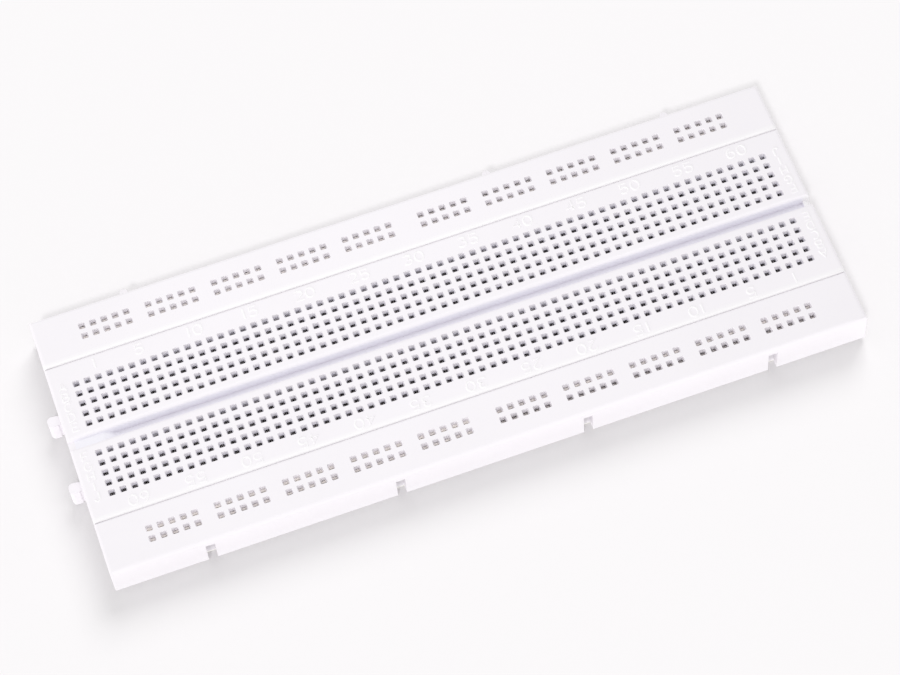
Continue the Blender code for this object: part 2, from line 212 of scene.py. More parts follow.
class ContactSizes(bpy.types.PropertyGroup):
    """The spring contacts below the holes."""

    sheet: length_property("Sheet", "Thickness of the spring sheet", 0.00018)
    width: length_property("Width", "Width of a contact across its slot", 0.0011)
    wall: length_property("Wall height", "Height of the wall below the fingers", 0.0026)
    finger: length_property("Finger width", "Width of a finger along the contact", 0.0018)
    pinch: length_property("Pinch gap", "Gap between two fingers where they grip a lead", 0.00008)
    flare: length_property("Flare", "Width between the tips of two fingers", 0.00062)
    clip_drop: length_property(
        "Clip drop", "Top face to the finger tips in the terminal strip", 0.0021
    )
    front_rail_drops: vector_property(
        "Front rail drops",
        "Top face to the tips of the front rails: row a left and right, row b left and right",
        (0.0010, 0.00125, 0.0012, 0.0017),
        unit="LENGTH",
    )
    rear_rail_drops: vector_property(
        "Rear rail drops",
        "Top face to the tips of the rear rails: row a left and right, row b left and right",
        (0.0013, 0.0015, 0.00128, 0.0014),
        unit="LENGTH",
    )
    tip: length_property("Tip length", "Height of the flared tip above the pinch", 0.0009)
    rail_flare: length_property(
        "Rail flare", "Width between the tips of two fingers of a rail", 0.00108
    )
    rail_tip: length_property(
        "Rail tip length", "Height of the flared tip of a rail above the pinch", 0.0003
    )


class PadSizes(bpy.types.PropertyGroup):
    """The adhesive pads and their release liners."""

    corner: length_property("Corner round", "Radius of the corners of a pad", 0.0008)
    softening: length_property("Softening", "Size of the pressed edge of the foam", 0.00012)
    slit: length_property("Liner crease", "Depth of the peeling crease across a liner", 0.00004)


class MarkSizes(bpy.types.PropertyGroup):
    """The raised column numbers and row letters."""

    figure_height: length_property("Figure height", "Height of a column number", 0.0024)
    letter_height: length_property("Letter height", "Height of a row letter", 0.0020)
    stroke: length_property("Stroke", "Width of a raised stroke", 0.00048)
    relief: length_property("Relief", "Height of a raised stroke", 0.00014)
    number_row: length_property(
        "Number row", "Centre line of the board to the middle of a column number", 0.0173
    )
    letter_column: length_property(
        "Letter column", "Middle of the board to the middle of a row letter", 0.08315
    )


class Finishes(bpy.types.PropertyGroup):
    """The colours of the board."""

    plastic: colour_property("Plastic", "Colour of the moulded strips", (0.95, 0.921, 0.956))
    # Painted glow: a bluish colour painted inside the holes and the channel, in place of light
    # coming through the plastic
    recess: colour_property(
        "Recess",
        "Colour of the plastic below the top face, where light comes through it",
        (0.955, 0.942, 1.0),
    )
    # Painted shade: a darker colour painted at the foot of the channel
    hollow: colour_property(
        "Hollow",
        "Colour of the plastic at the foot of the channel, where less light comes through",
        (0.84, 0.815, 0.88),
    )
    # Painted highlight: a lighter colour painted on the raised marks, the rolled edges behind the
    # seams and the rib of the channel
    crest: colour_property(
        "Crest", "Colour of the plastic on raised marks and rolled edges", (0.985, 0.97, 0.985)
    )
    contact: colour_property("Contacts", "Colour of the spring contacts", (0.90, 0.87, 0.83))
    foam: colour_property("Foam", "Colour of the adhesive foam", (0.93, 0.92, 0.91))
    liner: colour_property("Liner", "Colour of the release liner", (0.88, 0.86, 0.79))
    floor: colour_property("Floor", "Colour of the floor", (0.7266, 0.7139, 0.7206))
    backdrop: colour_property(
        "Backdrop", "Colour of the backdrop beyond the floor", (0.965, 0.948, 0.957)
    )


class StageSettings(bpy.types.PropertyGroup):
    """The floor, the light and the camera."""

    floor_size: length_property("Floor size", "Width of the floor", 6.0)
    camera_place: vector_property(
        "Camera place",
        "Where the camera stands",
        (-0.07402, -0.31463, 0.59485),
        subtype="TRANSLATION",
    )
    camera_turn: vector_property(
        "Camera turn",
        "How the camera is turned, as a quaternion",
        (0.95428, 0.24640, -0.01441, -0.16860),
        subtype="QUATERNION",
    )
    lens: plain_property("Lens", "Focal length of the camera", 122.75, unit="CAMERA")
    dome: plain_property("Dome", "Strength of the even light from all round", 0.82)
    front_light: plain_property(
        "Front light", "Strength of the soft lamp low in front of the board", 1.33
    )
    front_direction: vector_property(
        "Front direction",
        "Where the front lamp stands, seen from the board",
        (-0.65, -0.76, 0.06),
        subtype="DIRECTION",
    )
    overhead_light: plain_property(
        "Overhead light", "Power of the lamp over the board", 0.081, unit="POWER"
    )
    overhead_size: length_property("Overhead size", "Width of the lamp over the board", 0.2)
    overhead_place: vector_property(
        "Overhead place",
        "Where the lamp over the board hangs",
        (-0.030, 0.060, 0.222),
        subtype="TRANSLATION",
    )
    soft_angle: plain_property(
        "Soft angle",
        "Angle that the front lamp and the lamp behind the board fill",
        math.radians(35),
        subtype="ANGLE",
    )
    outline_angle: plain_property(
        "Outline angle", "Angle that the outline lamp fills", math.radians(7), subtype="ANGLE"
    )
    shadow_light: plain_property(
        "Shadow light", "Strength of the soft lamp behind the board that lights the floor", 1.39
    )
    shadow_direction: vector_property(
        "Shadow direction",
        "Where the lamp behind the board stands, seen from the board",
        (0.40, 0.60, 0.70),
        subtype="DIRECTION",
    )
    outline_light: plain_property(
        "Outline light", "Strength of the lamp that leaves a narrow shadow behind the board", 0.827
    )
    outline_direction: vector_property(
        "Outline direction",
        "Where the outline lamp stands, seen from the board",
        (-0.31, -0.58, 0.81),
        subtype="DIRECTION",
    )


class BreadboardSettings(bpy.types.PropertyGroup):
    """Everything that the panel shows."""

    holes: PointerProperty(type=HoleSizes)
    housing: PointerProperty(type=HousingSizes)
    hooks: PointerProperty(type=HookSizes)
    contacts: PointerProperty(type=ContactSizes)
    pads: PointerProperty(type=PadSizes)
    marks: PointerProperty(type=MarkSizes)
    finishes: PointerProperty(type=Finishes)
    stage: PointerProperty(type=StageSettings)


# ---------------------------------------------------------------- meshes


def add_piece(name, data):
    """An object that holds this mesh, lamp or camera, linked into the scene."""
    obj = bpy.data.objects.new(name, data)
    bpy.context.scene.collection.objects.link(obj)
    return obj


def discard(*objects):
    for obj in objects:
        bpy.data.objects.remove(obj)


def plain_mesh(name, points, edges=(), faces=()):
    """A mesh of these points, edges and faces."""
    mesh = bpy.data.meshes.new(name)
    mesh.from_pydata(points, edges, faces)
    return mesh


def new_mesh(name, build):
    """A mesh that build(bm) fills, with its faces turned outwards."""
    mesh = bpy.data.meshes.new(name)
    bm = bmesh.new()
    build(bm)
    bmesh.ops.remove_doubles(bm, verts=bm.verts, dist=WELD)
    bmesh.ops.recalc_face_normals(bm, faces=bm.faces)
    bm.to_mesh(mesh)
    bm.free()
    return mesh


def add_prism(bm, outline, *levels, soften=0.0):
    """A closed plan raised through the levels, its top edge softened by a small bevel."""
    ring = [bm.verts.new((x, y, levels[0])) for x, y in outline]
    bm.faces.new(ring)
    for level in levels[1:]:
        above = [bm.verts.new((x, y, level)) for x, y in outline]
        for i in range(len(ring)):
            bm.faces.new((ring[i - 1], ring[i], above[i], above[i - 1]))
        ring = above
    bm.faces.new(ring)
    if soften:
        rim = [e for e in bm.edges if all(v in ring for v in e.verts)]
        bmesh.ops.bevel(bm, geom=rim, offset=soften, segments=2, profile=0.5, affect="EDGES")


def rounded_outline(corners, segments=8):
    """A closed outline through corners (x, y, radius), each one rounded by its own radius."""
    outline = []
    for i, (x, y, radius) in enumerate(corners):
        corner = Vector((x, y))
        if not radius:
            outline.append(tuple(corner))
            continue
        before = (Vector(corners[i - 1][:2]) - corner).normalized()
        after = (Vector(corners[(i + 1) % len(corners)][:2]) - corner).normalized()
        half = before.angle(after) / 2
        centre = corner + (before + after).normalized() * radius / math.sin(half)
        start = corner + before * radius / math.tan(half) - centre
        end = corner + after * radius / math.tan(half) - centre
        for step in range(segments + 1):
            spoke = start.slerp(end, step / segments).normalized()
            outline.append(tuple(centre + spoke * radius))
    return outline


def rectangle(along, across, radius=0.0):
    """Corners of a rectangle, all with the same radius."""
    return [(along[i], across[j], radius) for i, j in ((0, 0), (1, 0), (1, 1), (0, 1))]


def tab_plan(hooks, middle, edge):
    """Plan of a round-nosed tab that stands out of a long edge along +Y."""
    along = (middle - hooks.tab_width / 2, middle + hooks.tab_width / 2)
    corners = rectangle(along, (edge - OVERSHOOT, edge + hooks.tab_length))
    return rounded_outline(corners[:2] + [(x, y, hooks.tab_round) for x, y, _ in corners[2:]])


def end_tab_plan(hooks, edge, middle, margin=0.0):
    """Plan of a T tab that stands out of a short edge along -X, moved out by a margin."""
    neck = hooks.end_neck / 2 + margin
    head = hooks.end_head / 2 + margin
    start = edge - hooks.end_neck_length + margin
    end = edge - hooks.end_length - margin
    corners = [(edge + OVERSHOOT, neck, 0.0), (start, neck, 0.0), (start, head, 0.0)]
    corners.append((end, head, hooks.end_round))
    corners += [(x, -y, radius) for x, y, radius in reversed(corners)]
    return rounded_outline([(x, middle + y, radius) for x, y, radius in corners])


def strip_views(board, low, high, channel=False):
    """Three prisms whose common part is the plain body of a strip from y = low to high.

    The section runs along X, with a joint line between each two columns of holes. The end view
    runs along Y and the plan along Z.
    """
    housing, pitch = board.housing, board.holes.pitch
    radius = housing.edge_round
    outer = REAR_LOW.y + housing.bus_width / 2
    low_round, high_round = (radius if abs(y) > outer else housing.seam_round for y in (low, high))
    section = rectangle((low, high), (BASE_Z, TOP_Z))[:2] + [(high, TOP_Z, high_round)]
    if channel:
        wall = housing.channel_width / 2
        landing = TOP_Z - housing.landing_depth
        foot = wall - housing.draft * housing.landing_depth
        section += [(wall, TOP_Z, radius), (foot, landing, 0.0)]
        section += [(-foot, landing, 0.0), (-wall, TOP_Z, radius)]
    section.append((low, TOP_Z, low_round))
    ends = rectangle((-HALF_LENGTH, HALF_LENGTH), (BASE_Z, TOP_Z))
    ends = ends[:2] + [(x, z, radius) for x, z, _ in ends[2:]]
    plan = rectangle((-HALF_LENGTH, HALF_LENGTH), (low, high), housing.corner_round)
    reach = HALF_LENGTH + OVERSHOOT
    segments = housing.edge_segments
    most = board.holes.columns // 2
    lines = [column * pitch for column in range(-most, most + 1)]

    def along(outline, levels, turn):
        def build(bm):
            add_prism(bm, outline, *levels)
            bmesh.ops.transform(bm, matrix=turn, verts=bm.verts)

        return build

    section, ends = rounded_outline(section, segments), rounded_outline(ends, segments)
    plan = rounded_outline(plan, segments=3)
    return (
        along(section, [-reach, *lines, reach], ALONG_X),
        along(ends, [low - OVERSHOOT, high + OVERSHOOT], ALONG_Y),
        along(plan, [BASE_Z - OVERSHOOT, TOP_Z + OVERSHOOT], Matrix()),
    )


# Radii along the floor of the channel: at its ramp, at the foot of its rib and on top of the rib
RAMP_ROUND = 0.0015
RIB_FOOT_ROUND = 0.0001
RIB_INNER_ROUND = 0.0002
RIB_OUTER_ROUND = 0.0005


def add_trough(bm, housing):
    """The deep part of the centre channel, open at one end, with its walls leaning out."""
    low = -HALF_LENGTH + housing.landing_length
    ramp_foot = low + housing.landing_ramp
    inner, outer = HALF_LENGTH - housing.rib_place, HALF_LENGTH - housing.rib_gap
    floor, top = TOP_Z - housing.channel_depth, TOP_Z - housing.landing_depth + OVERSHOOT
    slope = housing.landing_ramp / (housing.channel_depth - housing.landing_depth)
    rib, outside = TOP_Z - housing.rib_depth, HALF_LENGTH + OVERSHOOT
    outline = [(ramp_foot, floor, RAMP_ROUND), (inner, floor, RIB_FOOT_ROUND)]
    outline += [(inner, rib, RIB_INNER_ROUND), (outer, rib, RIB_OUTER_ROUND), (outer, floor, 0.0)]
    outline += [(outside, floor, 0.0), (outside, top, 0.0), (low - slope * OVERSHOOT, top, 0.0)]
    first = len(bm.verts)
    wall = housing.channel_width / 2
    add_prism(bm, rounded_outline(outline, segments=6), -wall, wall)
    bmesh.ops.transform(bm, matrix=ALONG_Y, verts=bm.verts[first:])
    for vert in bm.verts[first:]:
        lean = housing.draft * (TOP_Z - vert.co.z)
        vert.co.y = math.copysign(wall - lean, vert.co.y)


# ---------------------------------------------------------------- node trees


class NodeSketch:
    """Writes nodes into a tree from left to right."""

    def __init__(self, tree):
        self.tree = tree
        self.count = 0

    def put(self, target, value):
        if isinstance(value, bpy.types.NodeSocket):
            self.tree.links.new(value, target)
        else:
            target.default_value = value

    def add(self, kind, inputs=None, **settings):
        """A node of this kind. Inputs are given by socket name, as values or as other sockets."""
        node = self.tree.nodes.new(kind)
        self.count += 1
        node.location = (200 * self.count, -80 * (self.count % 4))
        for name, value in settings.items():
            setattr(node, name, value)
        for name, value in (inputs or {}).items():
            self.put(next(s for s in node.inputs if s.name == name and s.enabled), value)
        return node

    def math(self, operation, a, b=0.0):
        node = self.add("ShaderNodeMath", operation=operation)
        self.put(node.inputs[0], a)
        self.put(node.inputs[1], b)
        return node.outputs[0]

    def vector(self, x=0.0, y=0.0, z=0.0):
        return self.add("ShaderNodeCombineXYZ", {"X": x, "Y": y, "Z": z}).outputs[0]

    def run(self, value, start, end, low=0.0, high=1.0):
        """A factor that runs from low to high as the value runs from start to end."""
        inputs = {"Value": value, "From Min": start, "From Max": end, "To Min": low, "To Max": high}
        return self.add("ShaderNodeMapRange", inputs).outputs[0]

    def mixed(self, factor, colour, other):
        """A colour that runs from one to the other with the factor."""
        mix = self.add("ShaderNodeMix", data_type="RGBA")
        self.put(mix.inputs[0], factor)
        for place, value in ((6, colour), (7, other)):
            is_socket = isinstance(value, bpy.types.NodeSocket)
            self.put(mix.inputs[place], value if is_socket else (*value, 1.0))
        return mix.outputs[2]


class ShapeSketch(NodeSketch):
    """A geometry node tree with named inputs."""

    def __init__(self, name, **inputs):
        """Each keyword is a kind of input, and lists the names of the inputs of that kind."""
        super().__init__(bpy.data.node_groups.new(name, "GeometryNodeTree"))
        face = self.tree.interface
        face.new_socket("Geometry", in_out="OUTPUT", socket_type="NodeSocketGeometry")
        for kind, labels in inputs.items():
            for label in labels:
                face.new_socket(label, in_out="INPUT", socket_type=f"NodeSocket{kind}")
        self.entry = self.tree.nodes.new("NodeGroupInput")

    def given(self, name):
        return self.entry.outputs[name]

    def named(self, label):
        """The mesh of the object given under this name."""
        return self.add("GeometryNodeObjectInfo", {"Object": self.given(label)}).outputs["Geometry"]

    def moved(self, geometry, **change):
        return self.add("GeometryNodeTransform", {"Geometry": geometry, **change}).outputs[0]

    def spread(self, points, instance):
        """The instance on every point, realized."""
        made = self.add("GeometryNodeInstanceOnPoints", {"Points": points, "Instance": instance})
        return self.add("GeometryNodeRealizeInstances", {"Geometry": made.outputs[0]}).outputs[0]

    def combined(self, operation, *meshes):
        """The union or the common part of several closed meshes."""
        node = self.add("GeometryNodeMeshBoolean", operation=operation, solver="MANIFOLD")
        for mesh in meshes:
            self.tree.links.new(mesh, node.inputs["Mesh"])
        return node.outputs[0]

    def cut(self, body, tool):
        inputs = {"Mesh 1": body, "Mesh 2": tool}
        settings = {"operation": "DIFFERENCE", "solver": "MANIFOLD"}
        return self.add("GeometryNodeMeshBoolean", inputs, **settings).outputs[0]

    def finish(self, geometry):
        """Shade by angle, realize, set the material and close the tree."""
        inputs = {"Geometry": geometry, "Shade Smooth": True}
        smooth = self.add("GeometryNodeSetShadeSmooth", inputs).outputs[0]
        angle = self.add("GeometryNodeInputMeshEdgeAngle").outputs["Unsigned Angle"]
        inputs, test = {"A": angle, "B": SHARP_ANGLE}, "GREATER_THAN"
        crease = self.add("FunctionNodeCompare", inputs, data_type="FLOAT", operation=test)
        inputs = {"Geometry": smooth, "Selection": crease.outputs[0], "Shade Smooth": False}
        edges = self.add("GeometryNodeSetShadeSmooth", inputs, domain="EDGE")
        real = self.add("GeometryNodeRealizeInstances", {"Geometry": edges.outputs[0]})
        inputs = {"Geometry": real.outputs[0], "Material": self.given("Finish")}
        painted = self.add("GeometryNodeSetMaterial", inputs)
        self.add("NodeGroupOutput", {"Geometry": painted.outputs[0]})
        return self.tree


def grow(obj, tree, values, weighted=False):
    """Run a node tree on the object and keep the result as its plain mesh."""
    obj.data.materials.append(values["Finish"])
    modifier = obj.modifiers.new(tree.name, "NODES")
    modifier.node_group = tree
    for item in tree.interface.items_tree:
        if item.in_out == "INPUT" and item.name in values:
            modifier[item.identifier] = values[item.name]
    if weighted:
        normals = obj.modifiers.new("weighted_normals", "WEIGHTED_NORMAL")
        normals.keep_sharp = True
        normals.weight = 80
    bpy.context.view_layer.update()
    graph = bpy.context.evaluated_depsgraph_get()
    mesh = bpy.data.meshes.new_from_object(obj.evaluated_get(graph))
    mesh.name = obj.name
    obj.modifiers.clear()
    obj.data = mesh
    return obj


def moulded_strip_tree():
    """A strip body with its hooks, openings, contact slots and funnel holes."""
    hole_sizes = ("Entry Width", "Throat Width", "Funnel Depth", "Lip", "Corner Round")
    sketch = ShapeSketch(
        "moulded_strip",
        Geometry=["Section"],
        Object=["Ends", "Plan", "Hooks", "Openings", "Hole Places", "Slot Places"],
        Float=[*hole_sizes, "Plate", "Slot Along", "Slot Across", "Base", "Top"],
        Material=["Finish"],
    )
    views = (sketch.given("Section"), sketch.named("Ends"), sketch.named("Plan"))
    body = sketch.combined("INTERSECT", *views)
    body = sketch.combined("UNION", body, sketch.named("Hooks"))
    body = sketch.cut(body, sketch.named("Openings"))

    plate = sketch.math("SUBTRACT", sketch.given("Top"), sketch.given("Plate"))
    foot = sketch.math("SUBTRACT", sketch.given("Base"), OVERSHOOT)
    height = sketch.math("SUBTRACT", plate, foot)
    size = sketch.vector(sketch.given("Slot Along"), sketch.given("Slot Across"), height)
    block = sketch.add("GeometryNodeMeshCube", {"Size": size}).outputs["Mesh"]
    middle = sketch.math("MULTIPLY", sketch.math("ADD", plate, foot), 0.5)
    block = sketch.moved(block, Translation=sketch.vector(0.0, 0.0, middle))
    body = sketch.cut(body, sketch.spread(sketch.named("Slot Places"), block))
    body = sketch.cut(body, sketch.spread(sketch.named("Hole Places"), hole_plug(sketch, plate)))
    return sketch.finish(body)


def hole_plug(sketch, plate):
    """The solid that a hole leaves out: square throat, funnel and flared lip."""
    throat, entry, lip = (sketch.given(n) for n in ("Throat Width", "Entry Width", "Lip"))
    inputs = {"Width": throat, "Height": throat}
    square = sketch.add("GeometryNodeCurvePrimitiveQuadrilateral", inputs).outputs[0]
    inputs = {"Curve": square, "Radius": sketch.given("Corner Round"), "Count": 2}
    rounded = sketch.add("GeometryNodeFilletCurve", inputs, mode="POLY").outputs[0]
    floor = sketch.add("GeometryNodeFillCurve", {"Curve": rounded}, mode="NGONS").outputs[0]
    start = sketch.math("SUBTRACT", plate, OVERSHOOT / 2)
    floor = sketch.moved(floor, Translation=sketch.vector(0.0, 0.0, start))

    top = sketch.given("Top")
    knee = sketch.math("SUBTRACT", top, sketch.given("Funnel Depth"))
    flare = sketch.math("SUBTRACT", top, lip)
    above = sketch.math("ADD", top, lip)
    double = sketch.math("MULTIPLY", lip, 2.0)
    wide = sketch.math("ADD", entry, double)
    wider = sketch.math("ADD", wide, double)
    steps = (
        (start, knee, throat, throat),
        (knee, flare, throat, entry),
        (flare, top, entry, wide),
        (top, above, wide, wider),
    )
    wall, cap = floor, True
    for low, high, narrow, broad in steps:
        rise = sketch.vector(0.0, 0.0, sketch.math("SUBTRACT", high, low))
        inputs = {"Mesh": wall, "Selection": cap, "Offset": rise, "Offset Scale": 1.0}
        step = sketch.add("GeometryNodeExtrudeMesh", inputs, mode="FACES")
        cap = step.outputs["Top"]
        scale = sketch.math("DIVIDE", broad, narrow)
        inputs = {"Geometry": step.outputs["Mesh"], "Selection": cap, "Scale": scale}
        wall = sketch.add("GeometryNodeScaleElements", inputs).outputs[0]
    under = sketch.add("GeometryNodeFlipFaces", {"Mesh": floor}).outputs[0]
    join = sketch.add("GeometryNodeJoinGeometry")
    for part in (wall, under):
        sketch.tree.links.new(part, join.inputs[0])
    inputs = {"Geometry": join.outputs[0], "Distance": PLUG_WELD}
    return sketch.add("GeometryNodeMergeByDistance", inputs).outputs[0]


def repeated_contact_tree():
    """One spring contact repeated at every place of its kind."""
    inputs = {"Geometry": ["Places"], "Object": ["Contact"], "Material": ["Finish"]}
    sketch = ShapeSketch("repeated_contact", **inputs)
    return sketch.finish(sketch.spread(sketch.given("Places"), sketch.named("Contact")))


def raised_strokes_tree():
    """Strokes swept with a low round profile, so that they stand a little out of the top face."""
    inputs = {"Geometry": ["Strokes"], "Float": ["Stroke Width", "Relief"], "Material": ["Finish"]}
    sketch = ShapeSketch("raised_strokes", **inputs)
    line = sketch.add("GeometryNodeMeshToCurve", {"Mesh": sketch.given("Strokes")})
    level = sketch.add("GeometryNodeSetCurveNormal", {"Curve": line.outputs[0]}, mode="Z_UP")
    half = sketch.math("MULTIPLY", sketch.given("Stroke Width"), 0.5)
    circle = sketch.add("GeometryNodeCurvePrimitiveCircle", {"Resolution": 10, "Radius": half})
    flat = sketch.math("DIVIDE", sketch.given("Relief"), half)
    profile = sketch.moved(circle.outputs[0], Scale=sketch.vector(1.0, flat, 1.0))
    inputs = {"Curve": level.outputs[0], "Profile Curve": profile, "Fill Caps": True}
    return sketch.finish(sketch.add("GeometryNodeCurveToMesh", inputs).outputs[0])


# ---------------------------------------------------------------- finishes


class FinishSketch(NodeSketch):
    """A material that reads the piece's own coordinates."""

    def __init__(self, name):
        self.material = bpy.data.materials.new(name)
        self.material.use_nodes = True
        super().__init__(self.material.node_tree)
        self.shader = self.tree.nodes["Principled BSDF"]
        self.shader.location = (2600, 0)
        self.tree.nodes["Material Output"].location = (2900, 0)
        self.place = self.add("ShaderNodeTexCoord").outputs["Object"]

    def stretched(self, scale, turn=0.0):
        inputs = {"Vector": self.place, "Scale": scale, "Rotation": (0.0, 0.0, turn)}
        return self.add("ShaderNodeMapping", inputs).outputs[0]

    def noise(self, scale, detail=2.0, place=None):
        inputs = {"Vector": place or self.place, "Scale": scale, "Detail": detail}
        return self.add("ShaderNodeTexNoise", inputs).outputs["Fac"]

    def between(self, factor, low, high):
        """A value that runs from low to high as a noise runs over its middle part."""
        return self.run(factor, 0.3, 0.7, low, high)

    def along(self, axis):
        """The place along X, Y or Z."""
        return self.add("ShaderNodeSeparateXYZ", {"Vector": self.place}).outputs[axis]

    def aside(self, axis):
        """The distance from the middle of the board along X or Y."""
        return self.math("ABSOLUTE", self.along(axis))

    def product(self, *factors):
        """The product of all the factors."""
        result = factors[0]
        for factor in factors[1:]:
            result = self.math("MULTIPLY", result, factor)
        return result

    def above(self, value, limit):
        return self.math("GREATER_THAN", value, limit)

    def below(self, value, limit):
        return self.math("LESS_THAN", value, limit)

    def shades(self, factor, colour, darker, lighter):
        """The colour, dimmed to its darker shade or raised to its lighter one by the factor."""
        return self.mixed(factor, dimmed(colour, darker), dimmed(colour, lighter))

    def bump(self, height, distance, strength=1.0, under=None):
        inputs = {"Height": height, "Distance": distance, "Strength": strength}
        if under:
            inputs["Normal"] = under
        return self.add("ShaderNodeBump", inputs).outputs[0]

    def close(self, **inputs):
        for name, value in inputs.items():
            self.put(self.shader.inputs[name.replace("_", " ")], value)
        return self.material


def dimmed(colour, factor):
    return tuple(channel * factor for channel in colour)


# Rays shorter than this are those between the underside of the board and the floor
UNDER_BOARD = 0.003
# Bounds of the painted glow, shade and highlights on the plastic. Depths are below the top face,
# sides are on each side of the middle of the board, and the others are from the end or edge of a
# strip.
RECESS_DEPTHS = (0.0003, 0.0010)
RECESS_SIDE = 0.0189
END_WALL = 0.0015
FOOT_DEPTHS = (0.0016, 0.0026)
FOOT_SIDES = (-0.0004, 0.0009)
CHANNEL_SIDE = 0.0013
RIB_DEPTHS = (0.0002, 0.0005)
RIB_BOTTOM_DEPTH = 0.0028
ROLLED_FROM_EDGE = (0.0013, 0.0005)
ROLLED_OUTSIDE = 0.0001
NOTCH_DEPTHS = (0.0084, 0.0070)
NOTCH_TOP_DEPTH = 0.0024
NOTCH_FROM_EDGE = (0.0010, 0.0022)
NOTCH_SHADE = 0.86
RAISED_DEPTHS = (-0.00001, -0.00006)


def moulded_plastic(colour):
    """Smooth white ABS: faint flow marks in the colour, a satin gloss and a very fine skin.

    Its colour also carries painted light and shade, in place of the light that comes through the
    thin plastic: a painted bluish glow inside the holes and the channel, painted shade at the foot
    of the channel and at the back of the front notches, and a painted highlight on the rib of the
    channel, along the rolled edges behind the seams and on the raised marks.
    """
    sketch = FinishSketch("moulded_abs")
    finishes = bpy.context.scene.breadboard.finishes
    base = sketch.shades(sketch.between(sketch.noise(35.0, 3.0), 0.0, 1.0), colour, 0.992, 1.008)
    x, y, z = (sketch.along(axis) for axis in "XYZ")

    def deeper(start, end):
        """A factor that runs from 0 to 1 between two depths."""
        return sketch.run(z, TOP_Z - start, TOP_Z - end)

    # Painted glow: the bluish recess colour below the top face, inside the holes and the channel
    deep = sketch.product(
        deeper(*RECESS_DEPTHS),
        sketch.below(sketch.aside("X"), HALF_LENGTH - END_WALL),
        sketch.below(sketch.aside("Y"), RECESS_SIDE),
    )
    base = sketch.mixed(deep, base, finishes.recess)
    inside = sketch.below(y, CHANNEL_SIDE)
    # Painted shade: darker towards the floor of the channel and towards its rear wall
    foot = sketch.product(deeper(*FOOT_DEPTHS), inside, sketch.run(y, *FOOT_SIDES))
    base = sketch.mixed(foot, base, finishes.hollow)
    # Painted highlight: the lighter crest colour on the rib at the open end of the channel
    rib = sketch.product(
        sketch.above(x, HALF_LENGTH - END_WALL),
        deeper(*RIB_DEPTHS),
        sketch.above(z, TOP_Z - RIB_BOTTOM_DEPTH),
        sketch.above(y, -CHANNEL_SIDE),
        inside,
    )
    base = sketch.mixed(rib, base, finishes.crest)
    # Painted highlight: the crest colour along the rolled front edges of the terminal strip and the
    # rear bus strip, behind the two seams
    for edge in (TERMINAL_LOW.y, REAR_LOW.y):
        rolled = sketch.product(
            sketch.run(y, *(edge + inward for inward in ROLLED_FROM_EDGE)),
            sketch.above(y, edge - ROLLED_OUTSIDE),
        )
        base = sketch.mixed(rolled, base, finishes.crest)
    # Painted shade: a darker colour at the back of the front notches
    notch = sketch.product(
        deeper(*NOTCH_DEPTHS),
        sketch.below(z, TOP_Z - NOTCH_TOP_DEPTH),
        sketch.above(y, FRONT_LOW.y + NOTCH_FROM_EDGE[0]),
        sketch.below(y, FRONT_LOW.y + NOTCH_FROM_EDGE[1]),
    )
    base = sketch.mixed(notch, base, dimmed(colour, NOTCH_SHADE))
    # Painted highlight: the crest colour on the raised marks, which stand above the top face
    base = sketch.mixed(deeper(*RAISED_DEPTHS), base, finishes.crest)
    satin = sketch.between(sketch.noise(420.0), 0.30, 0.40)
    wave = sketch.bump(sketch.noise(90.0), 0.00004)
    skin = sketch.bump(sketch.noise(5200.0), 0.000004, 0.6, wave)
    return sketch.close(Base_Color=base, Roughness=satin, Normal=skin, IOR=1.53)


def spring_metal(colour):
    """Rolled nickel silver: fine lines along the sheet and a little tarnish."""
    sketch = FinishSketch("spring_metal")
    rolled = sketch.noise(900.0, place=sketch.stretched((0.2, 1.0, 4.0)))
    tarnish = sketch.between(sketch.noise(260.0, 3.0), 0.0, 1.0)
    base = sketch.shades(tarnish, colour, 0.88, 1.08)
    rough = sketch.between(rolled, 0.38, 0.55)
    lines = sketch.bump(rolled, 0.000006, 0.7)
    return sketch.close(Base_Color=base, Roughness=rough, Normal=lines, Metallic=1.0)


def cell_foam(colour):
    """Closed-cell foam: small round cells on the cut faces, and a dull surface."""
    sketch = FinishSketch("cell_foam")
    cells = sketch.add("ShaderNodeTexVoronoi", {"Vector": sketch.place, "Scale": 3200.0})
    cloud = sketch.between(sketch.noise(140.0, 3.0), 0.0, 1.0)
    base = sketch.shades(cloud, colour, 0.96, 1.03)
    pits = sketch.bump(cells.outputs["Distance"], 0.00006, 0.8)
    return sketch.close(Base_Color=base, Roughness=0.93, Normal=pits)


def waxed_paper(colour):
    """Waxed release paper: fibres in two directions, faint clouds and a soft gloss."""
    sketch = FinishSketch("waxed_paper")
    along = sketch.noise(700.0, 4.0, sketch.stretched((0.25, 2.0, 1.0), 0.5))
    across = sketch.noise(700.0, 4.0, sketch.stretched((2.0, 0.3, 1.0), -0.3))
    fibres = sketch.math("MULTIPLY", sketch.math("ADD", along, across), 0.5)
    base = sketch.shades(sketch.between(fibres, 0.0, 1.0), colour, 0.90, 1.05)
    gloss = sketch.between(sketch.noise(180.0), 0.38, 0.52)
    surface = sketch.bump(fibres, 0.00002, 0.5)
    return sketch.close(Base_Color=base, Roughness=gloss, Normal=surface)


